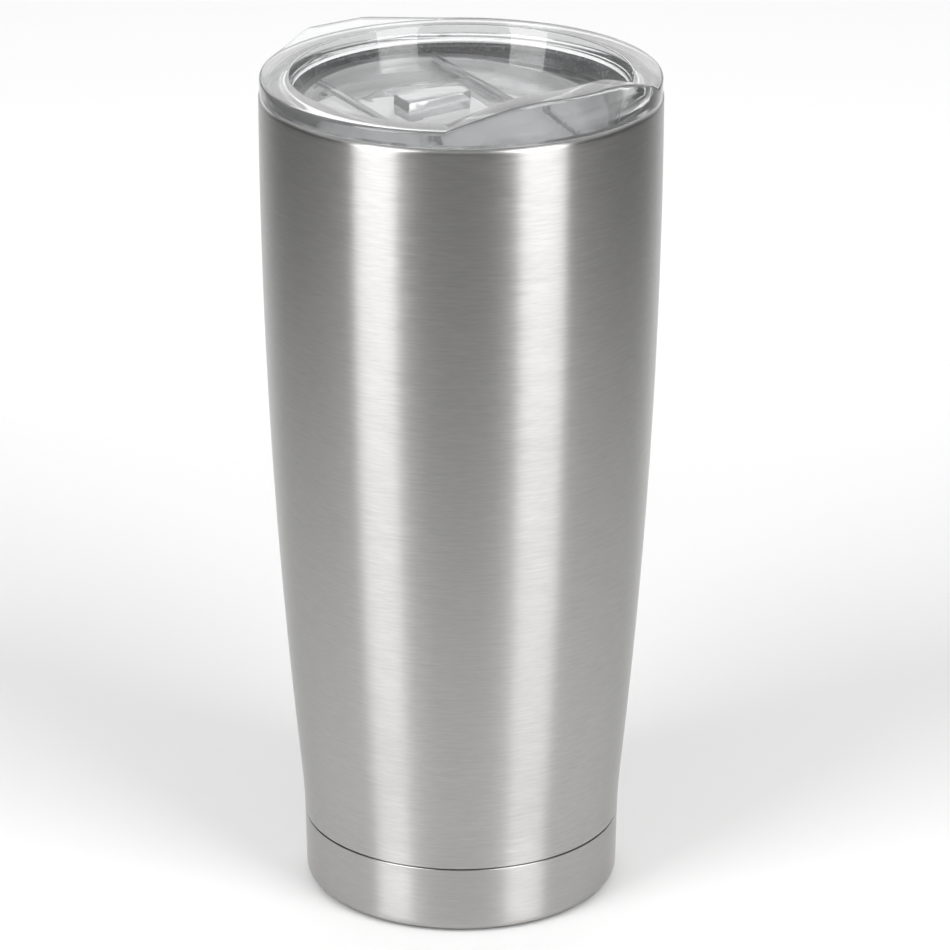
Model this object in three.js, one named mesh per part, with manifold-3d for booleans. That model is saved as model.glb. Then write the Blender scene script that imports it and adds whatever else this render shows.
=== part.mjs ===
// Vacuum insulated steel tumbler with a clear press-in lid and a sliding closure.
// Millimetres, +Z up. The origin is the centre of the base's underside.
// The lid's drinking spout points along -Y and its lift tab along +Y.
import * as THREE from 'three';
import { mergeVertices } from 'three/addons/utils/BufferGeometryUtils.js';
import Module from 'manifold-3d';

const wasm = await Module();
wasm.setup();

// ---- driving dimensions ----
const BODY_RADIUS = 44.15;    // widest outside radius of the steel
const BASE_RADIUS = 35.5;     // outside radius at the table
const BASE_DRAFT = 0.02;      // outward lean of the base cup, per mm of height
const BELLY_TOP = 178;        // above this height the side is a straight cylinder
const BELLY_CURVE = 3000;     // twice the radius of the long curve of the side
const BEND_SOFTNESS = 0.25;   // rounding where the curved side meets the base cup
const LIP_TOP = 186;          // top of the steel mouth
const LIP_ROUND = 0.9;        // rounding of the outside of the mouth
const SEAM = 15.5;            // height of the seam between base cup and outer shell
const STEEL = 0.6;            // sheet thickness of both walls
const VACUUM = 1.75;          // space between the two walls
const GAP = 0.3;              // clearance between pieces that touch
const TURN_STEPS = 48;        // facets round the steel pieces
const SIDE_STEPS = 8;         // facets up the curved side

// ---- lid dimensions ----
const LID_STEPS = 72;         // facets round the lid, 5 degrees each
const RIM_RADIUS = 43.9;      // outside of the lid's rim
const RIM_TOP = 190;          // flat top of the rim
const RIM_ROUND = 0.8;        // rounding of the rim's outer top edge
const TAB_THICKNESS = 2;      // thickness of the lift tab, below the rim's flat top
const PAN_RADIUS = 37.5;      // inside of the rim at its top
const PAN_TAPER = 0.25;       // how much the pan narrows per mm of depth
const PAN_WALL = 2;           // thickness of the pan's wall and floor
const SPOUT_RISE = 5.6;       // height of the spout above the rim's flat top
const SPOUT_CREST = 10;       // half angle of the spout's level crest, degrees
const SPOUT_FOOT = 40;        // half angle at which its ramps reach the rim, degrees
const TAB_REACH = 49.2;       // straight outer edge of the lift tab, from the axis
const TAB_CORNER = 10;        // half angle of the tab's corners, degrees
const TAB_FOOT = 34;          // half angle at which its hollow flanks run out into the rim, degrees
const DECK_HEIGHT = 179.6;    // floor of the pan above the origin
const DECK_TILT = Math.atan(0.1); // the floor falls toward the spout
const CHANNEL_HALF = 16;      // half width of the slider's channel
const CHANNEL_DEPTH = 2.6;    // depth of the channel below the pan's floor
const SLIDE_TRAVEL = 11;      // travel of the slider toward the tab

const DEG = Math.PI / 180;
const point = (r, z) => new THREE.Vector2(r, z);

// ---------------------------------------------------------------- profiles

// Outside radius of the steel at a height: the greater of base cup and long curve, rounded together.
function bodyRadius(z) {
  const belly = BODY_RADIUS - Math.max(0, BELLY_TOP - z) ** 2 / BELLY_CURVE;
  const cup = BASE_RADIUS + BASE_DRAFT * z;
  return (belly + cup + Math.hypot(belly - cup, BEND_SOFTNESS)) / 2;
}

// Points along the side between two heights, moved inward by inset.
function sidePoints(from, to, inset, steps = SIDE_STEPS) {
  const points = [];
  for (let i = 0; i <= steps; i += 1) {
    const z = from + ((to - from) * i) / steps;
    points.push(point(bodyRadius(z) - inset, z));
  }
  return points;
}

// Points along an arc in the profile plane; angles in degrees, 0 pointing outward, 90 up.
function arcPoints(r, z, radius, from, to, steps = 3) {
  const points = [];
  for (let i = 0; i <= steps; i += 1) {
    const angle = (from + ((to - from) * i) / steps) * DEG;
    points.push(point(r + radius * Math.cos(angle), z + radius * Math.sin(angle)));
  }
  return points;
}

const panRadius = (z) => PAN_RADIUS - PAN_TAPER * (RIM_TOP - z);

// ---------------------------------------------------------------- geometry helpers

// Turns a profile of (radius, height) points round the Z axis.
function turned(points, steps = TURN_STEPS) {
  return new THREE.LatheGeometry(points, steps).rotateX(Math.PI / 2);
}

// Turns a closed cross-section that doesn't reach the axis.
function turnedRing(points, steps = TURN_STEPS) {
  return turned([...points, points[0].clone()], steps);
}

// A straight block from a plan outline, standing between two heights.
function block(shape, from, to, steps = 12) {
  const geometry = new THREE.ExtrudeGeometry(shape, {
    depth: to - from,
    bevelEnabled: false,
    curveSegments: steps,
  });
  return geometry.translate(0, 0, from);
}

function rectangle(x0, x1, y0, y1) {
  return new THREE.Shape([point(x0, y0), point(x1, y0), point(x1, y1), point(x0, y1)]);
}

function disc(x, y, radius) {
  return new THREE.Shape().absarc(x, y, radius, 0, 2 * Math.PI);
}

// Moves a shape made on the XY plane onto the pan's tilted floor.
function onDeck(geometry) {
  return geometry.rotateX(DECK_TILT).translate(0, 0, DECK_HEIGHT);
}

function solid(geometry) {
  const bare = geometry.clone();
  bare.deleteAttribute('normal');
  bare.deleteAttribute('uv');
  const merged = mergeVertices(bare, 1e-4);
  return new wasm.Manifold(new wasm.Mesh({
    numProp: 3,
    vertProperties: new Float32Array(merged.attributes.position.array),
    triVerts: new Uint32Array(merged.index.array),
  }));
}

function geometryOf(manifold) {
  const mesh = manifold.getMesh();
  const geometry = new THREE.BufferGeometry();
  geometry.setAttribute('position', new THREE.BufferAttribute(new Float32Array(mesh.vertProperties), 3));
  geometry.setIndex(new THREE.BufferAttribute(new Uint32Array(mesh.triVerts), 1));
  geometry.computeVertexNormals();
  return geometry;
}

function piece(name, geometry, material) {
  const mesh = new THREE.Mesh(geometry, material);
  mesh.name = name;
  return mesh;
}

// ---------------------------------------------------------------- materials

const metal = (color, roughness) => new THREE.MeshStandardMaterial({ color, roughness, metalness: 1 });
const brushedSteel = metal(0xb4b3b1, 0.32);
const drawnSteel = metal(0xc2c2c0, 0.4);
const copperFoil = metal(0xc07c52, 0.3);
const getterMetal = metal(0x77797c, 0.6);
const solderGlass = new THREE.MeshStandardMaterial({ color: 0x4a4f57, roughness: 0.2, metalness: 0 });
const clearPlastic = new THREE.MeshStandardMaterial({
  color: 0xe9edee, roughness: 0.05, metalness: 0, transparent: true, opacity: 0.35,
});
const clearSilicone = new THREE.MeshStandardMaterial({
  color: 0xdfe1e0, roughness: 0.45, metalness: 0, transparent: true, opacity: 0.7,
});

// ---------------------------------------------------------------- steel body

const SPIGOT_RADIUS = BASE_RADIUS - STEEL - GAP - 0.05; // necked foot of the outer shell, inside the base cup
const SPIGOT_FOOT = 3.2;

function outerShell() {
  const shoulder = SEAM + GAP / 2;
  const lipStart = LIP_TOP - LIP_ROUND;
  const lipCentre = BODY_RADIUS - LIP_ROUND;
  const weldEdge = BODY_RADIUS - STEEL - VACUUM + GAP;
  return turnedRing([
    point(SPIGOT_RADIUS, SPIGOT_FOOT),
    point(SPIGOT_RADIUS, shoulder),
    ...sidePoints(shoulder, BELLY_TOP, 0),
    ...arcPoints(lipCentre, lipStart, LIP_ROUND, 0, 90),
    point(weldEdge, LIP_TOP),
    point(weldEdge, LIP_TOP - STEEL),
    ...arcPoints(lipCentre, lipStart, LIP_ROUND - STEEL, 90, 0),
    ...sidePoints(BELLY_TOP, shoulder + STEEL, STEEL),
    point(SPIGOT_RADIUS - STEEL, shoulder + STEEL),
    point(SPIGOT_RADIUS - STEEL, SPIGOT_FOOT),
  ]);
}

const LINER_SEAM = 27;  // height of the weld between the liner's wall and its floor
const LINER_FLOOR = 19; // inside floor of the cup

// The inner wall: it rises to the mouth, where it is welded to the outer shell.
function innerLiner() {
  const outside = STEEL + VACUUM;
  const inside = outside + STEEL;
  const mouth = BODY_RADIUS - outside - STEEL / 2;
  return turnedRing([
    ...sidePoints(LINER_SEAM, BELLY_TOP, outside),
    ...arcPoints(mouth, LIP_TOP - STEEL / 2, STEEL / 2, 0, 180, 2),
    ...sidePoints(BELLY_TOP, LINER_SEAM, inside),
  ]);
}

// The stamped floor of the cup, with a rounded corner up to the liner's seam.
function linerFloor() {
  const corner = 6.5;
  const edge = LINER_SEAM - GAP;
  const outside = bodyRadius(edge) - STEEL - VACUUM;
  const centre = outside - corner;
  const arcHeight = LINER_FLOOR - STEEL + corner;
  return turned([
    point(0, LINER_FLOOR - STEEL),
    ...arcPoints(centre, arcHeight, corner, -90, 0, 4),
    point(outside, edge),
    point(outside - STEEL, edge),
    ...arcPoints(centre, arcHeight, corner - STEEL, 0, -90, 4),
    point(0, LINER_FLOOR),
  ]);
}

// Thin copper wrap round the liner inside the vacuum.
function heatShield() {
  const thickness = 0.3;
  const inside = STEEL + VACUUM - GAP - 0.05;
  return turnedRing([
    ...sidePoints(31, 172, inside - thickness, 6),
    ...sidePoints(172, 31, inside, 6),
  ]);
}

const BASE_DISC_TOP = 9.2;
const BASE_DISC_THICKNESS = 0.8;
const SEAL_HOLE = 1.2;

// Stamped disc that closes the vacuum; its raised dimple carries the pump-out hole.
function vacuumBaseDisc() {
  const rim = SPIGOT_RADIUS - STEEL - GAP;
  const dimple = 1.6;
  const top = BASE_DISC_TOP;
  const under = top - BASE_DISC_THICKNESS;
  return turnedRing([
    point(SEAL_HOLE, under + dimple),
    point(4.2, under + dimple),
    point(5.8, under),
    point(rim - 1.2, under),
    point(rim - BASE_DISC_THICKNESS, under - 0.4),
    point(rim - BASE_DISC_THICKNESS, SPIGOT_FOOT + GAP),
    point(rim, SPIGOT_FOOT + GAP),
    point(rim, top - 0.9),
    point(rim - 0.9, top),
    point(5.5, top),
    point(3.9, top + dimple),
    point(SEAL_HOLE, top + dimple),
  ]);
}

// Glass solder that was melted into the dimple to seal the pump-out hole.
function sealingBead() {
  const under = BASE_DISC_TOP - BASE_DISC_THICKNESS + 1.6;
  return turned([
    point(0, under - 2),
    point(2.2, under - 1.7),
    point(3.5, under - GAP - 0.5),
    point(3.3, under - GAP),
    point(SEAL_HOLE - GAP, under - GAP),
    point(SEAL_HOLE - GAP, under + BASE_DISC_THICKNESS + 0.4),
    point(0, under + BASE_DISC_THICKNESS + 0.6),
  ], 24);
}

const GETTER_RADIUS = 4;
const GETTER_HEIGHT = 2.2;
const GETTER_OFFSET = 17; // from the axis, clear of the dimple
const CLIP_SHEET = 0.5;

// Pellet that absorbs the last gas in the vacuum.
function getterPellet() {
  return turned([
    point(0, 0),
    point(GETTER_RADIUS - 0.4, 0),
    point(GETTER_RADIUS, 0.4),
    point(GETTER_RADIUS, GETTER_HEIGHT - 0.4),
    point(GETTER_RADIUS - 0.4, GETTER_HEIGHT),
    point(0, GETTER_HEIGHT),
  ], 24);
}

// Bent strap over the pellet, with a foot on each side for the spot welds.
function getterClip() {
  const inner = GETTER_RADIUS + GAP;
  const outer = inner + CLIP_SHEET;
  const crown = GETTER_HEIGHT + GAP + CLIP_SHEET;
  const foot = outer + 3.2;
  const strap = new THREE.Shape([
    point(-foot, 0),
    point(-inner, 0),
    point(-inner, crown - CLIP_SHEET),
    point(inner, crown - CLIP_SHEET),
    point(inner, 0),
    point(foot, 0),
    point(foot, CLIP_SHEET),
    point(outer, CLIP_SHEET),
    point(outer, crown),
    point(-outer, crown),
    point(-outer, CLIP_SHEET),
    point(-foot, CLIP_SHEET),
  ]);
  const width = 4;
  return block(strap, -width / 2, width / 2).rotateX(Math.PI / 2);
}

// Brushed outer cup that covers the vacuum seal and is what the tumbler stands on.
function baseCup() {
  const round = 2.1;
  const top = SEAM - GAP / 2;
  const centre = bodyRadius(round) - round;
  return turned([
    point(0, 0),
    ...arcPoints(centre, round, round, -90, 0),
    point(bodyRadius(top), top),
    point(bodyRadius(top) - STEEL, top),
    ...arcPoints(centre, round, round - STEEL, 0, -90),
    point(0, STEEL),
  ]);
}

// ---------------------------------------------------------------- lid

// How far the rim is raised at an angle away from the spout's middle, 0 to 1.
// The ramp leaves the rim at a corner and eases into the crest.
function spoutLift(away) {
  const ramp = (SPOUT_FOOT - away / DEG) / (SPOUT_FOOT - SPOUT_CREST);
  return Math.sin((Math.min(1, Math.max(0, ramp)) * Math.PI) / 2);
}

// Outline of the rim's flat top at an angle away from the tab's middle.
function tabRadius(away) {
  const run = Math.max(0, TAB_FOOT - away / DEG) / (TAB_FOOT - TAB_CORNER);
  const flank = RIM_RADIUS + (TAB_REACH - RIM_RADIUS) * run ** 2;
  return run > 0 ? Math.min(TAB_REACH / Math.cos(away), flank) : RIM_RADIUS;
}

// Raises the ring's top into the spout and draws its outer edge out into the lift tab.
function shapeRim(geometry) {
  const place = geometry.attributes.position;
  const edgeStart = RIM_RADIUS - RIM_ROUND;
  const tabUnder = RIM_TOP - TAB_THICKNESS;
  for (let i = 0; i < place.count; i += 1) {
    const x = place.getX(i);
    const y = place.getY(i);
    const z = place.getZ(i);
    if (z < tabUnder - 0.01) continue;
    const fromTab = Math.abs(Math.atan2(x, y));
    const radius = Math.hypot(x, y);
    const reach = radius > edgeStart - 0.01 ? tabRadius(fromTab) - RIM_RADIUS : 0;
    const grow = (radius + reach) / radius;
    place.setXYZ(i, x * grow, y * grow, z + SPOUT_RISE * spoutLift(Math.PI - fromTab));
  }
  return geometry;
}

const GROOVE_RADIUS = 38.4; // bottom of the gasket's groove
const GROOVE_LOW = 181.3;

// Rim and upper pan wall: a solid flange that rests over the steel mouth.
function rimRing() {
  const foot = LIP_TOP + GAP;
  const tabUnder = RIM_TOP - TAB_THICKNESS;
  const wallOutside = GROOVE_RADIUS + 1.2;
  return shapeRim(turnedRing([
    point(RIM_RADIUS, foot),
    point(RIM_RADIUS, tabUnder - 0.1),
    point(RIM_RADIUS, tabUnder),
    ...arcPoints(RIM_RADIUS - RIM_ROUND, RIM_TOP - RIM_ROUND, RIM_ROUND, 0, 90),
    point(PAN_RADIUS + 0.6, RIM_TOP),
    point(PAN_RADIUS, RIM_TOP - 0.6),
    point(panRadius(tabUnder - 0.2), tabUnder - 0.2),
    point(panRadius(LIP_TOP), LIP_TOP),
    point(GROOVE_RADIUS - 1, LIP_TOP - 1),
    point(GROOVE_RADIUS, LIP_TOP - 0.4),
    point(wallOutside, foot),
  ], LID_STEPS));
}

// The plug below the rim, solid to the axis, with the groove for the gasket.
function plugSolid() {
  const low = 171;
  const lip = GROOVE_RADIUS + 1.8;
  return turned([
    point(0, low),
    point(panRadius(low) + PAN_WALL, low),
    point(panRadius(179) + PAN_WALL, 179),
    point(lip, GROOVE_LOW - 1.4),
    point(lip, GROOVE_LOW),
    point(GROOVE_RADIUS, GROOVE_LOW),
    point(GROOVE_RADIUS, LIP_TOP),
    point(0, LIP_TOP),
  ], LID_STEPS);
}

function panInside() {
  const low = 170;
  return turned([
    point(0, low),
    point(panRadius(low), low),
    point(panRadius(LIP_TOP), LIP_TOP),
    point(0, LIP_TOP + 2),
  ], LID_STEPS);
}

const CHANNEL_LENGTH = 90; // longer than the pan, whose wall ends the channel

// Everything under the pan's floor, with a lane of its own depth for the slider.
function underDeck(drop, laneHalf, laneDrop) {
  const far = 60;
  const ground = solid(onDeck(block(rectangle(-far, far, -far, far), -far, -drop)));
  const lane = block(rectangle(-laneHalf, laneHalf, -CHANNEL_LENGTH / 2, CHANNEL_LENGTH / 2), -laneDrop, far);
  return ground.subtract(solid(onDeck(lane)));
}

// A slot with round ends, lying along X.
function slotShape(x, y, halfLength, halfWidth) {
  const shape = new THREE.Shape();
  shape.absarc(x + halfLength - halfWidth, y, halfWidth, -Math.PI / 2, Math.PI / 2);
  shape.absarc(x - halfLength + halfWidth, y, halfWidth, Math.PI / 2, (3 * Math.PI) / 2);
  return shape;
}

const HOLE_Y = -27;         // middle of the drinking hole
const VENT_X = -19;
const VENT_Y = 25.5;
const VENT_RADIUS = 1;
const RAIL_REACH = 1;       // how far the rails stand over the slider's edges
const RAIL_TOP = 0.4;       // above the pan's floor
const RAIL_THICKNESS = 0.9;
const RAIL_FRONT = -12;
const RAIL_BACK = 33;       // inside the pan's wall

function lidBody() {
  const floorOutside = underDeck(PAN_WALL, CHANNEL_HALF + PAN_WALL, CHANNEL_DEPTH + PAN_WALL);
  const floorInside = underDeck(0, CHANNEL_HALF, CHANNEL_DEPTH);
  const hollow = solid(panInside()).subtract(floorInside);
  let body = solid(plugSolid()).subtract(floorOutside).add(solid(rimRing())).subtract(hollow);
  for (const side of [-1, 1]) {
    const inner = side * (CHANNEL_HALF - RAIL_REACH);
    const outer = side * (CHANNEL_HALF + 0.8);
    const rail = block(rectangle(Math.min(inner, outer), Math.max(inner, outer), RAIL_FRONT, RAIL_BACK),
      RAIL_TOP - RAIL_THICKNESS, RAIL_TOP);
    body = body.add(solid(onDeck(rail)));
  }
  const through = CHANNEL_DEPTH + 2 * PAN_WALL;
  const drinkHole = block(slotShape(0, HOLE_Y, 9, 3.8), -through, 0, 8);
  const ventHole = block(disc(VENT_X, VENT_Y, VENT_RADIUS), -through, 1, 8);
  return geometryOf(body.subtract(solid(onDeck(drinkHole))).subtract(solid(onDeck(ventHole))));
}

// Silicone ring with two soft lips that press on the liner.
function lidGasket() {
  const inner = GROOVE_RADIUS + GAP;
  const web = inner + 1.1;
  const lip = BODY_RADIUS - 2 * STEEL - VACUUM - GAP;
  const low = GROOVE_LOW + GAP;
  return turnedRing([
    point(inner, low),
    point(web, low),
    point(lip, low + 1.2),
    point(web, low + 1.7),
    point(web, low + 2.5),
    point(lip, low + 3),
    point(web, low + 3.7),
    point(inner, low + 3.7),
  ], 64);
}

const SLIDER_FRONT = 33.2;  // radius of the slider's front edge about the lid's axis
const SLIDER_BACK = 33.4;   // radius of its back edge about a point SLIDE_TRAVEL nearer the spout
const GRIP_HALF = 8.3;
const GRIP_FRONT = 8;
const GRIP_BACK = 14.1;
const GRIP_HEIGHT = 2.2;    // above the slider's plate

// Plan of the slider's plate: straight sides, and ends that follow the pan's wall.
function sliderPlan(half) {
  const front = new THREE.Shape();
  const frontAngle = Math.asin(half / SLIDER_FRONT);
  const backAngle = Math.asin(half / SLIDER_BACK);
  front.absarc(0, 0, SLIDER_FRONT, -Math.PI / 2 - frontAngle, -Math.PI / 2 + frontAngle);
  front.absarc(0, -SLIDE_TRAVEL, SLIDER_BACK, Math.PI / 2 - backAngle, Math.PI / 2 + backAngle);
  return front;
}

function slider() {
  const floor = GAP - CHANNEL_DEPTH;
  const flange = RAIL_TOP - RAIL_THICKNESS - GAP;
  const plate = solid(onDeck(block(sliderPlan(CHANNEL_HALF - GAP), floor, flange, 6)));
  const raised = solid(onDeck(block(sliderPlan(CHANNEL_HALF - RAIL_REACH - GAP), floor, 0, 6)));
  const gripPlan = rectangle(-GRIP_HALF, GRIP_HALF, GRIP_FRONT, GRIP_BACK);
  const grip = solid(onDeck(block(gripPlan, floor, GRIP_HEIGHT)));
  return geometryOf(plate.add(raised).add(grip));
}

// ---------------------------------------------------------------- assembly

const tumbler = new THREE.Group();

const body = new THREE.Group();
body.add(piece('outer_shell', outerShell(), brushedSteel));
body.add(piece('inner_liner', innerLiner(), drawnSteel));
body.add(piece('liner_floor', linerFloor(), drawnSteel));
body.add(piece('heat_shield_foil', heatShield(), copperFoil));
body.add(piece('vacuum_base_disc', vacuumBaseDisc(), drawnSteel));
body.add(piece('sealing_bead', sealingBead(), solderGlass));
body.add(piece('base_cup', baseCup(), brushedSteel));
tumbler.add(body);

const getter = new THREE.Group();
const clip = piece('getter_clip', getterClip(), drawnSteel);
const pellet = piece('getter_pellet', getterPellet(), getterMetal);
getter.position.set(0, GETTER_OFFSET, BASE_DISC_TOP + GAP);
getter.add(clip);
getter.add(pellet);
body.add(getter);

const lid = new THREE.Group();
lid.add(piece('lid_body', lidBody(), clearPlastic));
lid.add(piece('lid_gasket', lidGasket(), clearSilicone));
lid.add(piece('slider', slider(), clearPlastic));
tumbler.add(lid);

export default tumbler;
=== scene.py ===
"""Insulated tumbler with a clear sliding lid: fine meshes, materials, floor, light and camera."""
import math

import bmesh
import bpy
from mathutils import Matrix, Vector

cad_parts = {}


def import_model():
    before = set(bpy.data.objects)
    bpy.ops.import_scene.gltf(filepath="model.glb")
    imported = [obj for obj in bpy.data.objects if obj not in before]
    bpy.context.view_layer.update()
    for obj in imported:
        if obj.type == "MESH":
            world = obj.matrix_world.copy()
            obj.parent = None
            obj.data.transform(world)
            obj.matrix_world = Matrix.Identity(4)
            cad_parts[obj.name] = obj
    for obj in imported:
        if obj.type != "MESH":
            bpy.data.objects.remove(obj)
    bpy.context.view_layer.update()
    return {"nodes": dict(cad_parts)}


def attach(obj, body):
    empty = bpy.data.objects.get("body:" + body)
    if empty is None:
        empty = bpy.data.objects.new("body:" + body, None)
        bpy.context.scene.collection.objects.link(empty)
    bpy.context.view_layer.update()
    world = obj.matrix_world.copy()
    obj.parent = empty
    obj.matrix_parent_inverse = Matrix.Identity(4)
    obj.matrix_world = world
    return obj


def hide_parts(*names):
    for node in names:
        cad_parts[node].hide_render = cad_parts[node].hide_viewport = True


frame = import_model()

MM = 0.001
FINE = 240                        # facets round a turned steel or silicone piece
FINEST = 360                      # facets round the clear lid
SHARP_ANGLE = math.radians(35)    # faces that meet at more than this keep a hard edge
BEVEL_SEGMENTS = 3
AXIS_TOLERANCE = 1e-6             # mm; a point nearer the axis than this is on it


# ---------------------------------------------------------------- sizes, in mm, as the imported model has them

BODY_RADIUS = 44.15      # widest outside radius of the steel
BASE_RADIUS = 35.5       # outside radius at the table
BASE_DRAFT = 0.02        # outward lean of the base cup, per mm of height
BELLY_TOP = 178          # above this height the side is a straight cylinder
BELLY_CURVE = 3000       # twice the radius of the long curve of the side
BEND_SOFTNESS = 0.25     # rounding where the curved side meets the base cup
BASE_ROUND = 2.1         # rounding of the base cup's bottom edge
LIP_TOP = 186            # top of the steel mouth
LIP_ROUND = 0.9          # rounding of the outside of the mouth
SEAM = 15.5              # height of the seam between base cup and outer shell
STEEL = 0.6              # sheet thickness of both walls
VACUUM = 1.75            # space between the two walls
GAP = 0.3                # clearance between pieces that touch
SPIGOT_RADIUS = BASE_RADIUS - STEEL - GAP - 0.05    # necked foot of the outer shell, inside the base cup
SPIGOT_FOOT = 3.2        # lowest edge of that foot
LINER_SEAM = 27          # height of the weld between the liner's wall and its floor
LINER_FLOOR = 19         # inside floor of the cup
LINER_CORNER = 6.5       # outside radius of the corner round that floor

RIM_RADIUS = 43.9        # outside of the lid's rim
RIM_TOP = 190            # flat top of the rim
RIM_ROUND = 0.8          # rounding of the rim's outer top edge
TAB_THICKNESS = 2        # thickness of the lift tab, below the rim's flat top
PAN_RADIUS = 37.5        # inside of the rim at its top
PAN_TAPER = 0.25         # how much the pan narrows per mm of depth
PAN_WALL = 2             # thickness of the pan's wall and floor
PLUG_LOW = 171           # bottom of the plug before its underside is cut to the tilted floor
PLUG_WAIST = 179         # height at which the plug bends out to the lip under its gasket
SPOUT_RISE = 5.6         # height of the spout above the rim's flat top
SPOUT_CREST = 10         # half angle of the spout's level crest, degrees
SPOUT_FOOT = 40          # half angle at which its ramps reach the rim, degrees
TAB_REACH = 49.2         # straight outer edge of the lift tab, from the axis
TAB_CORNER = 10          # half angle of the tab's corners, degrees
TAB_FOOT = 34            # half angle at which its hollow flanks run out into the rim, degrees
DECK_HEIGHT = 179.6      # floor of the pan above the origin
DECK_TILT = math.atan(0.1)    # the floor falls toward the spout
CHANNEL_HALF = 16        # half width of the slider's channel
CHANNEL_DEPTH = 2.6      # depth of the channel below the pan's floor
SLIDE_TRAVEL = 11        # travel of the slider toward the tab
GROOVE_RADIUS = 38.4     # bottom of the gasket's groove
GROOVE_LOW = 181.3       # lower side of the gasket's groove
GROOVE_LIP = 1.8         # reach of the lip under the groove
GASKET_WEB = 1.1         # thickness of the gasket behind its two soft lips
GASKET_HEIGHT = 3.7
RAIL_REACH = 1           # how far the rails stand over the slider's edges
RAIL_ROOT = 0.8          # how far they are let into the floor beside the channel
RAIL_TOP = 0.4           # above the pan's floor
RAIL_THICKNESS = 0.9
RAIL_FRONT = -12
RAIL_BACK = 33           # inside the pan's wall
HOLE_Y = -27             # middle of the drinking hole
HOLE_HALF = 9            # half its length
HOLE_ROUND = 3.8         # radius of its round ends
VENT_X = -19
VENT_Y = 25.5
VENT_RADIUS = 1
SLIDER_FRONT = 33.2      # radius of the slider's front edge about the lid's axis
SLIDER_BACK = 33.4       # radius of its back edge about a point SLIDE_TRAVEL nearer the spout
GRIP_HALF = 8.3
GRIP_FRONT = 8
GRIP_BACK = 14.1
GRIP_HEIGHT = 2.2        # above the slider's plate


# ---------------------------------------------------------------- details in mm that only these meshes have

SEAM_CHAMFER = 0.12      # on both edges at the seam
WELD_ROUND = 0.15        # on the outer shell's inner edge at the mouth
LINER_BEAD = 0.1         # how far the liner swells out at the mouth
LINER_LIP_ROUND = 0.3
LIP_STRAIGHT = 1         # wall left straight under the roundings of the mouth
BASE_RING_INNER = 24     # shallow ring pressed into the underside of the base
BASE_RING_OUTER = 26
BASE_RING_DEPTH = 0.12
BASE_RING_SLOPE = 0.4    # width of the ring's sloping sides, and of the flat bands that frame it
BASE_BAND = 0.5          # flat band inside the base's rounded edge, which keeps its shading even
BASE_WALL_LOW = 5        # above the base's rounded edge
TAB_SOFTNESS = 0.5       # rounding of the tab's corners
PAN_EDGE_ROUND = 0.4     # rounding of the rim's inner top edge
PAN_EDGE_BULGE = 0.05    # how far the pan's wall stands in at the height of the tab's underside
RIM_FOOT_ROUND = 0.3
RIM_SLOPE_WIDTH = 1.2    # slope from the rim's foot to the gasket's groove
RIM_SLOPE_HEIGHT = 0.4   # how far the slope reaches below the mouth's top
RIM_OVERLAP = 1          # how far the rim's ring reaches into the plug it is joined to
RAIL_BEVEL = 0.12
CHANNEL_BEVEL = 0.15
PLATE_BEVEL = 0.12
RAISED_BEVEL = 0.15
GRIP_BEVEL = 0.2


def body_radius(z):
    """Outside radius of the steel at a height: base cup and long curve, rounded together."""
    belly = BODY_RADIUS - max(0, BELLY_TOP - z) ** 2 / BELLY_CURVE
    cup = BASE_RADIUS + BASE_DRAFT * z
    return (belly + cup + math.hypot(belly - cup, BEND_SOFTNESS)) / 2


def pan_radius(z):
    """Inside radius of the lid's pan at a height."""
    return PAN_RADIUS - PAN_TAPER * (RIM_TOP - z)


def side(start, end, inset, steps=48):
    """Points up or down the steel's side, moved inward by inset."""
    heights = [start + (end - start) * i / steps for i in range(steps + 1)]
    return [(body_radius(z) - inset, z) for z in heights]


# ---------------------------------------------------------------- mesh tools

def rounded(corners, closed=True, step=12):
    """Points from corners (a, b) or (a, b, radius). A radius makes an arc, in pieces of step degrees."""
    points = []
    for i, corner in enumerate(corners):
        here = Vector(corner[:2])
        radius = corner[2] if len(corner) > 2 else 0
        if radius == 0 or (not closed and i in (0, len(corners) - 1)):
            points.append(tuple(here))
            continue
        before = (Vector(corners[i - 1][:2]) - here).normalized()
        after = (Vector(corners[(i + 1) % len(corners)][:2]) - here).normalized()
        between = before.angle(after)
        centre = here + (before + after).normalized() * radius / math.sin(between / 2)
        first = here + before * radius / math.tan(between / 2) - centre
        sweep = math.copysign(math.pi - between, after.x * before.y - after.y * before.x)
        count = max(2, round(abs(math.degrees(sweep)) / step))
        for k in range(count + 1):
            turn = Matrix.Rotation(sweep * k / count, 2)
            points.append(tuple(centre + turn @ first))
    return points


def piece(name, mesh):
    """A Blender object from a bmesh, which is used up."""
    bmesh.ops.recalc_face_normals(mesh, faces=mesh.faces)
    data = bpy.data.meshes.new(name)
    mesh.to_mesh(data)
    mesh.free()
    smooth(data)
    obj = bpy.data.objects.new(name, data)
    bpy.context.scene.collection.objects.link(obj)
    return obj


def smooth(data):
    """Smooth shading, with hard edges where faces meet at more than the sharp angle."""
    data.shade_smooth()
    data.set_sharp_from_angle(angle=SHARP_ANGLE)


def turned(name, profile, steps=FINE):
    """Turns (radius, height) points round Z. A profile that doesn't start on the axis closes on itself."""
    mesh = bmesh.new()
    angles = [2 * math.pi * k / steps for k in range(steps)]
    rings = []
    for radius, height in profile:
        if radius < AXIS_TOLERANCE:
            rings.append([mesh.verts.new((0, 0, height * MM))])
            continue
        rings.append([mesh.verts.new((radius * math.cos(a) * MM, radius * math.sin(a) * MM, height * MM))
                      for a in angles])
    on_axis = len(rings[0]) == 1
    for low, high in zip(rings, rings[1:] + ([] if on_axis else rings[:1])):
        for k in range(steps):
            loop = [low[k % len(low)], low[(k + 1) % steps % len(low)],
                    high[(k + 1) % steps % len(high)], high[k % len(high)]]
            mesh.faces.new(list(dict.fromkeys(loop)))
    return piece(name, mesh)


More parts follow.
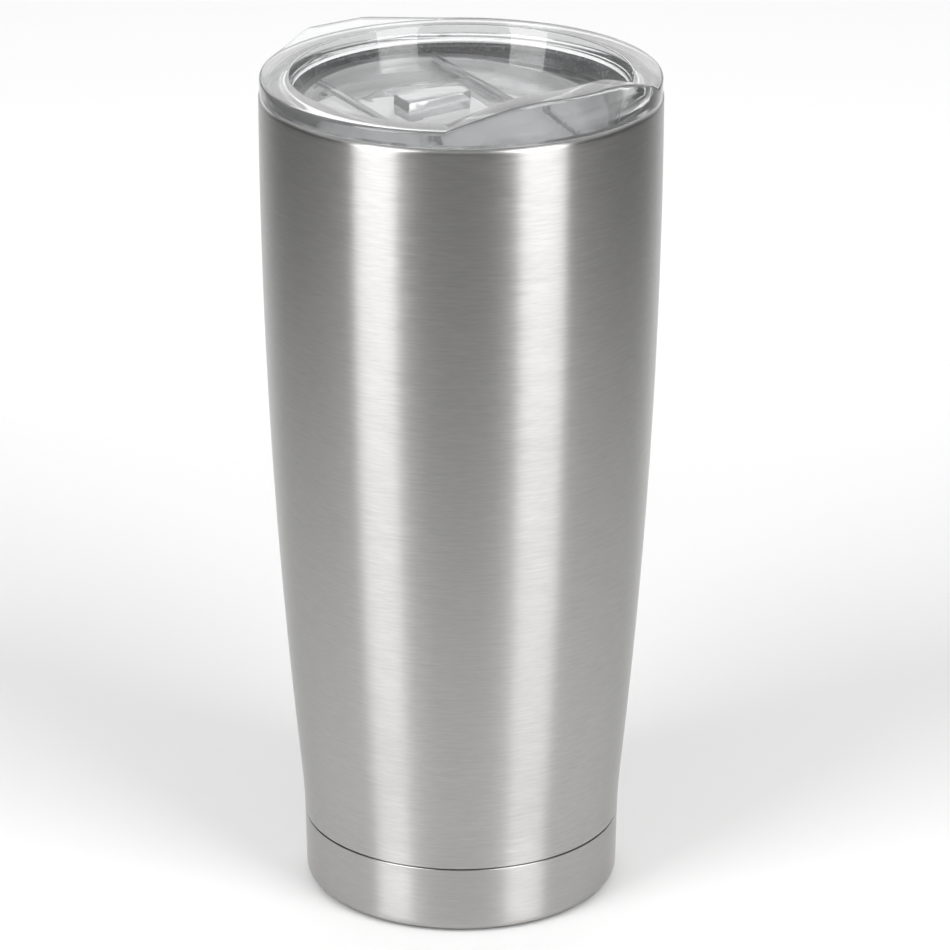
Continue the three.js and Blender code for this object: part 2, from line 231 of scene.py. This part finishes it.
def prism(name, outline, low, high, edge=0.0):
    """A block from a plan outline, between two heights in mm, its edges rounded by edge."""
    mesh = bmesh.new()
    bottom = [mesh.verts.new((x * MM, y * MM, low * MM)) for x, y in outline]
    top = [mesh.verts.new((x * MM, y * MM, high * MM)) for x, y in outline]
    mesh.faces.new(bottom)
    mesh.faces.new(top)
    for k in range(len(outline)):
        after = (k + 1) % len(outline)
        mesh.faces.new((bottom[k], bottom[after], top[after], top[k]))
    obj = piece(name, mesh)
    if edge:
        bevel(obj, edge)
    return obj


def bevel(obj, width):
    """Rounds every hard edge by a width in mm."""
    modifier = obj.modifiers.new("edges", "BEVEL")
    modifier.width = width * MM
    modifier.segments = BEVEL_SEGMENTS
    modifier.limit_method = "ANGLE"
    modifier.angle_limit = SHARP_ANGLE
    apply_modifiers(obj)


def apply_modifiers(obj):
    """Puts the mesh that the modifiers give in place of the object's own."""
    shown = obj.evaluated_get(bpy.context.evaluated_depsgraph_get())
    data = bpy.data.meshes.new_from_object(shown)
    old = obj.data
    obj.modifiers.clear()
    obj.data = data
    bpy.data.meshes.remove(old)
    smooth(data)


def combine(obj, other, operation):
    """Joins (UNION) or cuts (DIFFERENCE) an object with another, which is used up."""
    modifier = obj.modifiers.new("solid", "BOOLEAN")
    modifier.solver = "EXACT"
    modifier.operation = operation
    modifier.object = other
    apply_modifiers(obj)
    bpy.data.objects.remove(other)
    return obj


def onto_deck(obj):
    """Tilts a mesh made on the XY plane onto the floor of the lid's pan."""
    obj.data.transform(Matrix.Translation((0, 0, DECK_HEIGHT * MM)) @ Matrix.Rotation(DECK_TILT, 4, "X"))
    return obj


# ---------------------------------------------------------------- materials

MIX_FACTOR, MIX_A, MIX_B, MIX_RESULT = 0, 6, 7, 2    # sockets of a Mix node that mixes colours
PLASTIC_IOR = 1.49
SILICONE_IOR = 1.41
CLEAR_TRANSMISSION = 0.92    # of the plastic where it is clearest
HAZE_AND_PAINTED_LIGHT_FADE = 0.4              # mm over which the haze and the painted light end
ALONG_THE_TURN = 0.25        # anisotropic rotation that spreads reflections up and down the body


class Nodes:
    """A short way to write a node material."""

    def __init__(self, name):
        self.material = bpy.data.materials.new(name)
        self.material.use_nodes = True
        self.tree = self.material.node_tree
        self.shader = self.tree.nodes["Principled BSDF"]

    def add(self, kind, values=(), **settings):
        """A new node. Each value is a socket to link from, or else the input's own value."""
        node = self.tree.nodes.new("ShaderNode" + kind)
        for key, value in settings.items():
            setattr(node, key, value)
        for key, value in dict(values).items():
            if isinstance(value, bpy.types.NodeSocket):
                self.tree.links.new(value, node.inputs[key])
            else:
                node.inputs[key].default_value = value
        return node

    def set(self, **values):
        """Values of the shader's own sockets, with _ for the spaces in their names."""
        for key, value in values.items():
            self.shader.inputs[key.replace("_", " ")].default_value = value

    def link(self, output, socket):
        """Drives one of the shader's sockets."""
        self.tree.links.new(output, self.shader.inputs[socket])

    def noise(self, scale, stretch=(1, 1, 1), detail=4, roughness=0.55):
        """Noise over the piece's own metres, scale features a metre, stretched along its axes."""
        place = self.add("TexCoord").outputs["Object"]
        mapped = self.add("Mapping", {"Vector": place, "Scale": stretch})
        return self.add("TexNoise", {"Vector": mapped.outputs["Vector"], "Scale": scale, "Detail": detail,
                                     "Roughness": roughness}).outputs["Fac"]

    def spread(self, source, low, high, start=0.3, end=0.7):
        """Maps a noise's usual range onto low to high."""
        return self.add("MapRange", {"Value": source, "From Min": start, "From Max": end,
                                     "To Min": low, "To Max": high}).outputs["Result"]

    def tint(self, source, dark, light):
        """Mixes two colours, each given as three numbers or as another node's colour."""
        mix = self.add("Mix", {MIX_FACTOR: source}, data_type="RGBA")
        for socket, colour in ((mix.inputs[MIX_A], dark), (mix.inputs[MIX_B], light)):
            if isinstance(colour, bpy.types.NodeSocket):
                self.tree.links.new(colour, socket)
            else:
                socket.default_value = (*colour, 1)
        return mix.outputs[MIX_RESULT]

    def bump(self, height, depth, strength):
        """Bump of a given depth in metres."""
        node = self.add("Bump", {"Height": height, "Distance": depth, "Strength": strength})
        self.link(node.outputs["Normal"], "Normal")


def brushed_steel(name, dark, light, rough_low, rough_high, anisotropy):
    """Steel brushed round the body: fine scratches that spread reflections up and down, not sideways."""
    m = Nodes(name)
    scratches = m.noise(130, (1, 1, 16), detail=3, roughness=0.6)
    hair = m.noise(330, (1, 1, 14), detail=2, roughness=0.5)
    both = m.add("Math", {0: scratches, 1: hair}, operation="ADD").outputs["Value"]
    shade = m.spread(both, 0, 1, start=0.7, end=1.3)
    m.link(m.tint(shade, dark, light), "Base Color")
    m.link(m.spread(scratches, rough_low, rough_high), "Roughness")
    m.set(Metallic=1, Anisotropic=anisotropy, Anisotropic_Rotation=ALONG_THE_TURN)
    tangent = m.add("Tangent", direction_type="RADIAL", axis="Z")
    m.link(tangent.outputs["Tangent"], "Tangent")
    m.bump(both, depth=0.00001, strength=0.3)
    return m.material


def clear_plastic(name, haze_and_painted_light_top, haze_and_painted_light_low, haze_and_painted_light_high):
    """Clear moulded plastic, a little wavy. Up to a given height in mm over the pan's floor it transmits less
    light, between a given low and high level, and is painted whiter: partly haze, partly painted light
    standing in for light from the lit inside of the cup."""
    m = Nodes(name)
    m.set(IOR=PLASTIC_IOR)
    place = m.add("TexCoord").outputs["Object"]
    up_from_floor = (0, -math.sin(DECK_TILT), math.cos(DECK_TILT))
    height = m.add("VectorMath", {0: place, 1: up_from_floor}, operation="DOT_PRODUCT").outputs["Value"]
    floor_height = DECK_HEIGHT * math.cos(DECK_TILT) * MM
    clear = m.add("MapRange", {
        "Value": height,
        "From Min": floor_height + haze_and_painted_light_top * MM,
        "From Max": floor_height + (haze_and_painted_light_top + HAZE_AND_PAINTED_LIGHT_FADE) * MM,
    }, interpolation_type="SMOOTHSTEP")
    # partly haze, partly painted light: below the pan's floor the plastic is painted whiter and transmits
    # less, standing in for light from the lit inside of the cup
    m.link(m.tint(clear.outputs["Result"], (0.88, 0.885, 0.89), (0.69, 0.695, 0.7)), "Base Color")
    hazy_and_painted_light = m.spread(m.noise(40, (1, 3, 1), detail=2), haze_and_painted_light_low, haze_and_painted_light_high)
    transmission = m.add("MapRange", {"Value": clear.outputs["Result"], "To Min": hazy_and_painted_light,
                                      "To Max": CLEAR_TRANSMISSION})
    m.link(transmission.outputs["Result"], "Transmission Weight")
    m.link(m.spread(m.noise(220, detail=5), 0.02, 0.07), "Roughness")
    m.bump(m.noise(90, detail=2), depth=0.00003, strength=0.3)
    return m.material


def silicone(name):
    """Milky silicone with a soft surface."""
    m = Nodes(name)
    m.link(m.tint(m.spread(m.noise(400), 0, 1), (0.5, 0.505, 0.51), (0.6, 0.605, 0.61)), "Base Color")
    m.set(Transmission_Weight=0.93, IOR=SILICONE_IOR)
    m.link(m.spread(m.noise(900), 0.16, 0.3), "Roughness")
    m.bump(m.noise(1500, detail=3), depth=0.00003, strength=0.3)
    return m.material


def foil(name):
    """Copper foil with the small creases of a hand-wrapped sheet."""
    m = Nodes(name)
    m.link(m.tint(m.spread(m.noise(120), 0, 1), (0.72, 0.36, 0.2), (0.88, 0.5, 0.31)), "Base Color")
    m.set(Metallic=1)
    m.link(m.spread(m.noise(300), 0.18, 0.32), "Roughness")
    m.bump(m.noise(160, detail=8, roughness=0.7), depth=0.0004, strength=0.6)
    return m.material


def sintered(name):
    """Grey sintered metal powder."""
    m = Nodes(name)
    m.link(m.tint(m.spread(m.noise(2500), 0, 1), (0.2, 0.205, 0.21), (0.34, 0.345, 0.35)), "Base Color")
    m.set(Metallic=0.8)
    m.link(m.spread(m.noise(4000), 0.55, 0.75), "Roughness")
    m.bump(m.noise(5000, detail=2), depth=0.0001, strength=0.6)
    return m.material


def fused_glass(name):
    """Dark solder glass, glossy where it flowed."""
    m = Nodes(name)
    m.link(m.tint(m.spread(m.noise(700), 0, 1), (0.05, 0.06, 0.075), (0.1, 0.11, 0.13)), "Base Color")
    m.link(m.spread(m.noise(900), 0.08, 0.22), "Roughness")
    m.bump(m.noise(600, detail=3), depth=0.0002, strength=0.3)
    return m.material


STEEL_BODY = brushed_steel(
    "brushed_steel", dark=(0.43, 0.426, 0.42), light=(0.505, 0.5, 0.493),
    rough_low=0.29, rough_high=0.34, anisotropy=0.98)
STEEL_CUP = brushed_steel(
    "brushed_steel_cup", dark=(0.43, 0.425, 0.418), light=(0.5, 0.494, 0.486),
    rough_low=0.29, rough_high=0.35, anisotropy=0.98)
STEEL_DRAWN = brushed_steel(
    "drawn_steel", dark=(0.58, 0.577, 0.57), light=(0.68, 0.676, 0.67),
    rough_low=0.2, rough_high=0.28, anisotropy=0.8)
# the lid below the pan's floor and the whole slider are painted whiter and hazier: partly haze, partly painted
# light
CLEAR_LID = clear_plastic("clear_plastic", haze_and_painted_light_top=0.1, haze_and_painted_light_low=0.66, haze_and_painted_light_high=0.73)
CLEAR_SLIDER = clear_plastic("clear_plastic_slider", haze_and_painted_light_top=GRIP_HEIGHT, haze_and_painted_light_low=0.78, haze_and_painted_light_high=0.84)
SILICONE = silicone("clear_silicone")


# ---------------------------------------------------------------- steel body

def open_lip(corners):
    """Rounds the corners of a mouth whose two walls come straight up from below."""
    below = LIP_TOP - 5    # any height under the roundings: it only gives the walls' direction
    outside, inside = corners[0][0], corners[-1][0]
    return rounded([(outside, below), *corners, (inside, below)], closed=False)[1:-1]


def outer_shell():
    """The outer wall, closed in section: side, rolled mouth, inside face and necked foot."""
    shoulder = SEAM + GAP / 2
    chamfer = shoulder + SEAM_CHAMFER
    weld = BODY_RADIUS - STEEL - VACUUM + GAP / 2
    straight = LIP_TOP - LIP_ROUND - LIP_STRAIGHT
    outside = side(shoulder, straight, 0)
    outside[0] = (outside[0][0], chamfer)
    lip = open_lip([
        (BODY_RADIUS, LIP_TOP, LIP_ROUND),
        (weld, LIP_TOP, WELD_ROUND),
        (weld, LIP_TOP - STEEL),
        (BODY_RADIUS - STEEL, LIP_TOP - STEEL, LIP_ROUND - STEEL),
    ])
    inside = side(straight, shoulder + STEEL, STEEL)
    foot = [
        (SPIGOT_RADIUS - STEEL, shoulder + STEEL),
        (SPIGOT_RADIUS - STEEL, SPIGOT_FOOT),
        (SPIGOT_RADIUS, SPIGOT_FOOT),
        (SPIGOT_RADIUS, shoulder),
        (body_radius(shoulder) - SEAM_CHAMFER, shoulder),
    ]
    return turned("outer_shell_skin", outside + lip + inside + foot)


def inner_liner():
    """The inner wall, from its weld at the floor to the mouth."""
    outside = STEEL + VACUUM
    inside = outside + STEEL
    straight = LIP_TOP - LIP_STRAIGHT
    lip = open_lip([
        (BODY_RADIUS - outside + LINER_BEAD, LIP_TOP, LINER_LIP_ROUND),
        (BODY_RADIUS - inside, LIP_TOP, LINER_LIP_ROUND),
    ])
    wall = side(LINER_SEAM, straight, outside) + lip + side(straight, LINER_SEAM, inside)
    return turned("inner_liner_skin", wall)


def liner_floor():
    """The stamped floor of the cup, with a rounded corner up to the liner's seam."""
    edge = LINER_SEAM - GAP
    outside = body_radius(edge) - STEEL - VACUUM
    under = LINER_FLOOR - STEEL
    profile = rounded([
        (0, under),
        (outside, under, LINER_CORNER),
        (outside, edge),
        (outside - STEEL, edge),
        (outside - STEEL, LINER_FLOOR, LINER_CORNER - STEEL),
        (0, LINER_FLOOR),
    ], closed=False, step=8)
    return turned("liner_floor_skin", profile)


def base_cup():
    """The base cup, with a shallow ring pressed into its underside."""
    top = SEAM - GAP / 2
    under = [
        (0, 0),
        (BASE_RING_INNER - BASE_RING_SLOPE, 0),
        (BASE_RING_INNER, 0),
        (BASE_RING_INNER + BASE_RING_SLOPE, BASE_RING_DEPTH),
        (BASE_RING_OUTER - BASE_RING_SLOPE, BASE_RING_DEPTH),
        (BASE_RING_OUTER, 0),
        (BASE_RING_OUTER + BASE_RING_SLOPE, 0),
        (body_radius(0) - BASE_ROUND - BASE_BAND, 0),
    ]
    wall_low = body_radius(BASE_WALL_LOW)
    outer = rounded([(BASE_RING_OUTER, 0), (body_radius(0), 0, BASE_ROUND), (wall_low, BASE_WALL_LOW)],
                    closed=False)[1:-1]
    wall = side(BASE_WALL_LOW, top, 0, steps=8)
    wall[-1] = (wall[-1][0], top - SEAM_CHAMFER)
    rim = [(body_radius(top) - SEAM_CHAMFER, top), (body_radius(top) - STEEL, top)]
    inside = rounded([
        (wall_low - STEEL, BASE_WALL_LOW),
        (body_radius(0) - STEEL, STEEL, BASE_ROUND - STEEL),
        (0, STEEL),
    ], closed=False)
    return turned("base_cup_skin", under + outer + wall + rim + inside)


# ---------------------------------------------------------------- lid

def spout_lift(away):
    """How far the rim is raised, 0 to 1, at an angle in degrees away from the spout's middle."""
    ramp = (SPOUT_FOOT - away) / (SPOUT_FOOT - SPOUT_CREST)
    return math.sin(min(1, max(0, ramp)) * math.pi / 2)


def tab_radius(away):
    """Outline of the rim's top at an angle in degrees away from the tab's middle, its corners rounded."""
    run = max(0, TAB_FOOT - away) / (TAB_FOOT - TAB_CORNER)
    if run == 0:
        return RIM_RADIUS
    flank = RIM_RADIUS + (TAB_REACH - RIM_RADIUS) * run ** 2
    edge = TAB_REACH / math.cos(math.radians(away))
    return max(RIM_RADIUS, (flank + edge - math.hypot(flank - edge, TAB_SOFTNESS)) / 2)


def shape_rim(obj):
    """Raises the ring's top into the spout and draws its outer edge out into the lift tab."""
    slack = 0.01
    edge_start = RIM_RADIUS - RIM_ROUND - slack
    under = RIM_TOP - TAB_THICKNESS - slack
    for vertex in obj.data.vertices:
        x, y, z = vertex.co / MM
        if z < under:
            continue
        from_tab = abs(math.degrees(math.atan2(x, y)))
        radius = math.hypot(x, y)
        reach = tab_radius(from_tab) - RIM_RADIUS if radius > edge_start else 0
        grow = (radius + reach) / radius
        vertex.co = Vector((x * grow, y * grow, z + SPOUT_RISE * spout_lift(180 - from_tab))) * MM
    return obj


def rim_ring():
    """The lid's rim, raised into the spout and drawn out into the tab."""
    foot = LIP_TOP + GAP
    under = RIM_TOP - TAB_THICKNESS
    profile = rounded([
        (RIM_RADIUS, foot, RIM_FOOT_ROUND),
        (RIM_RADIUS, under - RIM_FOOT_ROUND),
        (RIM_RADIUS, under),
        (RIM_RADIUS, RIM_TOP, RIM_ROUND),
        (PAN_RADIUS, RIM_TOP, PAN_EDGE_ROUND),
        (pan_radius(under) - PAN_EDGE_BULGE, under),
        (pan_radius(LIP_TOP), LIP_TOP),
        (GROOVE_RADIUS - RIM_OVERLAP, LIP_TOP - RIM_OVERLAP),
        (GROOVE_RADIUS, LIP_TOP - RIM_SLOPE_HEIGHT),
        (GROOVE_RADIUS + RIM_SLOPE_WIDTH, foot),
    ])
    return shape_rim(turned("lid_moulding", profile, FINEST))


def plug_solid():
    """The plug below the rim, solid to the axis, with the groove for the gasket."""
    lip = GROOVE_RADIUS + GROOVE_LIP
    lip_thickness = 1.4
    profile = rounded([
        (0, PLUG_LOW),
        (pan_radius(PLUG_LOW) + PAN_WALL, PLUG_LOW),
        (pan_radius(PLUG_WAIST) + PAN_WALL, PLUG_WAIST, 1),
        (lip, GROOVE_LOW - lip_thickness, 0.4),
        (lip, GROOVE_LOW, 0.3),
        (GROOVE_RADIUS, GROOVE_LOW, 0.2),
        (GROOVE_RADIUS, LIP_TOP),
        (0, LIP_TOP),
    ], closed=False)
    return turned("plug", profile, FINEST)


def pan_inside():
    """The hollow of the pan, before its floor is filled in."""
    low = PLUG_LOW - 1
    profile = [(0, low), (pan_radius(low), low), (pan_radius(LIP_TOP), LIP_TOP), (0, LIP_TOP + 2)]
    return turned("pan", profile, FINEST)


def rectangle(x0, x1, y0, y1):
    """Outline of a rectangle."""
    return [(x0, y0), (x1, y0), (x1, y1), (x0, y1)]


def under_deck(drop, lane_half, lane_drop):
    """Everything under the pan's floor, with a lane of its own depth for the slider."""
    far = 60
    ground = prism("ground", rectangle(-far, far, -far, far), -far, -drop)
    lane_outline = rectangle(-lane_half, lane_half, -far - 1, far + 1)
    lane = prism("lane", lane_outline, -lane_drop, far, CHANNEL_BEVEL)
    return combine(onto_deck(ground), onto_deck(lane), "DIFFERENCE")


def arc(x, y, radius, start, end, steps=24):
    """Points along an arc round (x, y), between two angles in degrees."""
    angles = [math.radians(start + (end - start) * k / steps) for k in range(steps + 1)]
    return [(x + radius * math.cos(a), y + radius * math.sin(a)) for a in angles]


def circle(x, y, radius, count=24):
    """A number of points round a circle."""
    return arc(x, y, radius, 0, 360 - 360 / count, count - 1)


def slot_outline(y, half, radius):
    """Outline of a slot with round ends that lies along X."""
    return arc(half - radius, y, radius, -90, 90) + arc(radius - half, y, radius, 90, 270)


def lid_moulding():
    """Rim, spout, tab and pan in one moulding, with its rails, drinking hole and vent hole."""
    body = plug_solid()
    combine(body, under_deck(PAN_WALL, CHANNEL_HALF + PAN_WALL, CHANNEL_DEPTH + PAN_WALL), "DIFFERENCE")
    lid = combine(rim_ring(), body, "UNION")
    hollow = combine(pan_inside(), under_deck(0, CHANNEL_HALF, CHANNEL_DEPTH), "DIFFERENCE")
    combine(lid, hollow, "DIFFERENCE")
    for direction in (-1, 1):
        edges = sorted((direction * (CHANNEL_HALF - RAIL_REACH), direction * (CHANNEL_HALF + RAIL_ROOT)))
        outline = rectangle(*edges, RAIL_FRONT, RAIL_BACK)
        rail = prism("rail", outline, RAIL_TOP - RAIL_THICKNESS, RAIL_TOP, RAIL_BEVEL)
        combine(lid, onto_deck(rail), "UNION")
    through = CHANNEL_DEPTH + 2 * PAN_WALL
    drink = prism("drink", slot_outline(HOLE_Y, HOLE_HALF, HOLE_ROUND), -through, 0)
    combine(lid, onto_deck(drink), "DIFFERENCE")
    vent = prism("vent", circle(VENT_X, VENT_Y, VENT_RADIUS), -through, 1)
    combine(lid, onto_deck(vent), "DIFFERENCE")
    return lid


def gasket():
    """Silicone ring with two soft lips that press on the liner."""
    inner = GROOVE_RADIUS + GAP
    web = inner + GASKET_WEB
    reach = BODY_RADIUS - 2 * STEEL - VACUUM - GAP
    low = GROOVE_LOW + GAP
    top = low + GASKET_HEIGHT
    lower_lip, upper_lip = low + 1.2, low + 3
    waist_low, waist_high = low + 1.7, low + 2.5
    profile = rounded([
        (inner, low, 0.2),
        (web, low, 0.3),
        (reach, lower_lip, 0.25),
        (web, waist_low, 0.25),
        (web, waist_high, 0.25),
        (reach, upper_lip, 0.25),
        (web, top, 0.3),
        (inner, top, 0.2),
    ])
    return turned("gasket_ring", profile)


def slider_plan(half):
    """Plan of the slider: straight sides, and ends that follow the pan's wall."""
    front = math.degrees(math.asin(half / SLIDER_FRONT))
    back = math.degrees(math.asin(half / SLIDER_BACK))
    return (arc(0, 0, SLIDER_FRONT, -90 - front, -90 + front)
            + arc(0, -SLIDE_TRAVEL, SLIDER_BACK, 90 - back, 90 + back))


def slider_plate():
    """The slider: a plate under the rails, its raised middle and its grip."""
    floor_level = GAP - CHANNEL_DEPTH
    flange = RAIL_TOP - RAIL_THICKNESS - GAP
    root = floor_level + 0.5
    plate = prism("slider_plate", slider_plan(CHANNEL_HALF - GAP), floor_level, flange, PLATE_BEVEL)
    raised_plan = slider_plan(CHANNEL_HALF - RAIL_REACH - GAP)
    raised = prism("raised", raised_plan, floor_level, 0, RAISED_BEVEL)
    grip_plan = rectangle(-GRIP_HALF, GRIP_HALF, GRIP_FRONT, GRIP_BACK)
    grip = prism("grip", grip_plan, root, GRIP_HEIGHT, GRIP_BEVEL)
    combine(plate, raised, "UNION")
    combine(plate, grip, "UNION")
    return onto_deck(plate)


# ---------------------------------------------------------------- putting the object together

def dress(obj, node, body, material):
    """A fine piece that stands for a CAD node, rides on its body and takes a material."""
    obj.data.materials.clear()
    obj.data.materials.append(material)
    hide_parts(node)
    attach(obj, body)


def coat(node, material):
    """Gives a carried-over CAD node its material."""
    obj = frame["nodes"][node]
    obj.data.materials.clear()
    obj.data.materials.append(material)


dress(outer_shell(), "outer_shell", "tumbler", STEEL_BODY)
dress(base_cup(), "base_cup", "tumbler", STEEL_CUP)
dress(inner_liner(), "inner_liner", "tumbler", STEEL_DRAWN)
dress(liner_floor(), "liner_floor", "tumbler", STEEL_DRAWN)
dress(lid_moulding(), "lid_body", "lid", CLEAR_LID)
dress(gasket(), "lid_gasket", "lid", SILICONE)
dress(slider_plate(), "slider", "slider", CLEAR_SLIDER)
coat("vacuum_base_disc", STEEL_DRAWN)
coat("getter_clip", STEEL_DRAWN)
coat("getter_pellet", sintered("getter_metal"))
coat("heat_shield_foil", foil("copper_foil"))
coat("sealing_bead", fused_glass("solder_glass"))


# ---------------------------------------------------------------- floor, light and camera

CAMERA_AZIMUTH = math.radians(35.5)   # the camera stands this far round from -Y toward -X
CAMERA_PITCH = math.radians(21.33)    # looking down
CAMERA_AWAY = 1.0236                  # metres from the axis, along the floor
CAMERA_HEIGHT = 0.4959
CAMERA_SENSOR = 36
CAMERA_LENS = 185.87
CAMERA_SHIFT = 0.0145                 # the object stands a little left of the picture's middle
TOWARD_BACK = Vector((math.sin(CAMERA_AZIMUTH), math.cos(CAMERA_AZIMUTH), 0))
TOWARD_RIGHT = Vector((math.cos(CAMERA_AZIMUTH), -math.sin(CAMERA_AZIMUTH), 0))
UP = Vector((0, 0, 1))

FLOOR_SIZE = 6
FLOOR_DROP = 0.0004          # below the base, so that the two never share a plane
PAINTED_POOL_HALF = 0.23            # the floor's full painted brightness reaches this far to each side
PAINTED_POOL_FRONT = 0.13           # and this far toward the camera
PAINTED_FALLOFF = 0.31            # beyond that the painted light falls off to painted dark grey over this distance
PAINTED_BRIGHTENING = (0.1, 0.5)  # behind the object the floor is painted brighter, turning from near to far between these distances
# painted light on the floor: its colour near the object, and the brighter colour painted far behind it
FLOOR_PAINTED_NEAR = (0.75, 0.75, 0.75)
FLOOR_PAINTED_FAR = (0.94, 0.94, 0.94)
# painted shade: the dark grey the floor is painted outside the pool of light
PAINTED_FALLOFF_GREY = (0.1, 0.1, 0.1)

STRIP_AWAY = 0.95
STRIP_CENTRE = 0.62
STRIP_HEIGHT = 1.3
BACK_AWAY = 1.35
BACK_CENTRE = 1.0
STUDIO_DIM = 0.07            # world strength beside the object and on the camera's side
# The white sides of the studio: direction, cosines at which each begins and is full, strength it adds.
STUDIO_WHITE = ((TOWARD_BACK, 0.55, 0.85, 0.9), (UP, 0.45, 0.85, 0.7))


def painted_pool_distance(m, across, nearer):
    """How far a point of the floor lies outside the block of full painted brightness."""
    beside = m.add("Math", {0: across}, operation="ABSOLUTE").outputs["Value"]
    past = [m.add("Math", {0: value, 1: edge}, operation="SUBTRACT").outputs["Value"]
            for value, edge in ((beside, PAINTED_POOL_HALF), (nearer, PAINTED_POOL_FRONT))]
    outside = [m.add("Math", {0: value, 1: 0.0}, operation="MAXIMUM").outputs["Value"] for value in past]
    off = m.add("CombineXYZ", {"X": outside[0], "Y": outside[1]}).outputs["Vector"]
    return m.add("VectorMath", {0: off}, operation="LENGTH").outputs["Value"]


def paper():
    """Pale paper under and behind the object, with a painted pool of light: it is painted brighter far behind
    the object, and painted so that it falls off to dark grey at the sides and front.
    """
    m = Nodes("floor_paper_painted_light")
    place = m.add("TexCoord").outputs["Object"]
    across = m.add("VectorMath", {0: place, 1: TOWARD_RIGHT}, operation="DOT_PRODUCT").outputs["Value"]
    nearer = m.add("VectorMath", {0: place, 1: -TOWARD_BACK}, operation="DOT_PRODUCT").outputs["Value"]
    distance = painted_pool_distance(m, across, nearer)
    # painted shade: outside the pool the floor is painted falling off to dark grey
    fade = m.add("MapRange", {"Value": distance, "From Max": PAINTED_FALLOFF}, interpolation_type="SMOOTHSTEP")
    # painted light: far behind the object the floor is painted brighter
    start, end = PAINTED_BRIGHTENING
    behind = m.add("MapRange", {"Value": nearer, "From Min": -start, "From Max": -end},
                   interpolation_type="SMOOTHSTEP")
    lit = m.tint(behind.outputs["Result"], FLOOR_PAINTED_NEAR, FLOOR_PAINTED_FAR)
    m.link(m.tint(fade.outputs["Result"], lit, PAINTED_FALLOFF_GREY), "Base Color")
    m.set(Roughness=0.9, Specular_IOR_Level=0.2)
    return m.material


def floor():
    """A wide floor under the object."""
    mesh = bmesh.new()
    bmesh.ops.create_grid(mesh, x_segments=8, y_segments=8, size=FLOOR_SIZE)
    obj = piece("floor", mesh)
    obj.location.z = -FLOOR_DROP
    obj.data.materials.append(paper())


def soft_box(name, place, aim_height, width, height, power):
    """A rectangular light at a place, facing the axis at a height. The camera doesn't see it."""
    light = bpy.data.lights.new(name, "AREA")
    light.shape = "RECTANGLE"
    light.size = width
    light.size_y = height
    light.energy = power
    obj = bpy.data.objects.new(name, light)
    bpy.context.scene.collection.objects.link(obj)
    obj.location = place
    aim = UP * aim_height - obj.location
    obj.rotation_euler = aim.to_track_quat("-Z", "Y").to_euler()
    obj.visible_camera = False


def strip_light(name, azimuth, width, power):
    """An upright soft box, azimuth degrees round from the camera. It makes a bright band down the steel."""
    direction = Matrix.Rotation(math.radians(azimuth), 3, "Z") @ -TOWARD_BACK
    place = direction * STRIP_AWAY + UP * STRIP_CENTRE
    soft_box(name, place, aim_height=0.1, width=width, height=STRIP_HEIGHT, power=power)


def back_light():
    """A large soft box above and behind the object. It shows in every level surface of the lid."""
    place = TOWARD_BACK * BACK_AWAY + UP * BACK_CENTRE
    soft_box("back_softbox", place, aim_height=0.15, width=1.9, height=1.1, power=5)


def world():
    """A white studio overhead and behind the object, dim beside it and on the camera's side."""
    scene_world = bpy.data.worlds.new("studio")
    bpy.context.scene.world = scene_world
    scene_world.use_nodes = True
    tree = scene_world.node_tree
    place = tree.nodes.new("ShaderNodeTexCoord").outputs["Generated"]
    total = None
    for direction, start, end, top in STUDIO_WHITE:
        dot = tree.nodes.new("ShaderNodeVectorMath")
        dot.operation = "DOT_PRODUCT"
        dot.inputs[1].default_value = direction
        tree.links.new(place, dot.inputs[0])
        ramp = tree.nodes.new("ShaderNodeMapRange")
        ramp.interpolation_type = "SMOOTHSTEP"
        limits = {"From Min": start, "From Max": end, "To Min": STUDIO_DIM, "To Max": top}
        for key, value in limits.items():
            ramp.inputs[key].default_value = value
        tree.links.new(dot.outputs["Value"], ramp.inputs["Value"])
        if total is None:
            total = ramp.outputs["Result"]
            continue
        add = tree.nodes.new("ShaderNodeMath")
        tree.links.new(total, add.inputs[0])
        tree.links.new(ramp.outputs["Result"], add.inputs[1])
        total = add.outputs["Value"]
    background = tree.nodes["Background"]
    tree.links.new(total, background.inputs["Strength"])
    background.inputs["Color"].default_value = (1, 1, 1, 1)


def camera():
    """A long lens a metre away, looking down on the lid."""
    data = bpy.data.cameras.new("camera")
    data.sensor_width = CAMERA_SENSOR
    data.lens = CAMERA_LENS
    data.shift_x = CAMERA_SHIFT
    data.clip_start = 0.05
    data.clip_end = 50
    obj = bpy.data.objects.new("camera", data)
    bpy.context.scene.collection.objects.link(obj)
    obj.location = UP * CAMERA_HEIGHT - TOWARD_BACK * CAMERA_AWAY
    forward = TOWARD_BACK * math.cos(CAMERA_PITCH) - UP * math.sin(CAMERA_PITCH)
    obj.rotation_mode = "QUATERNION"
    obj.rotation_quaternion = forward.to_track_quat("-Z", "Y")
    bpy.context.scene.camera = obj


floor()
strip_light("left_strip", azimuth=-48, width=0.51, power=10.8)
strip_light("right_strip", azimuth=45.5, width=0.56, power=11.3)
back_light()
world()
camera()
bpy.context.scene.view_settings.view_transform = "Standard"
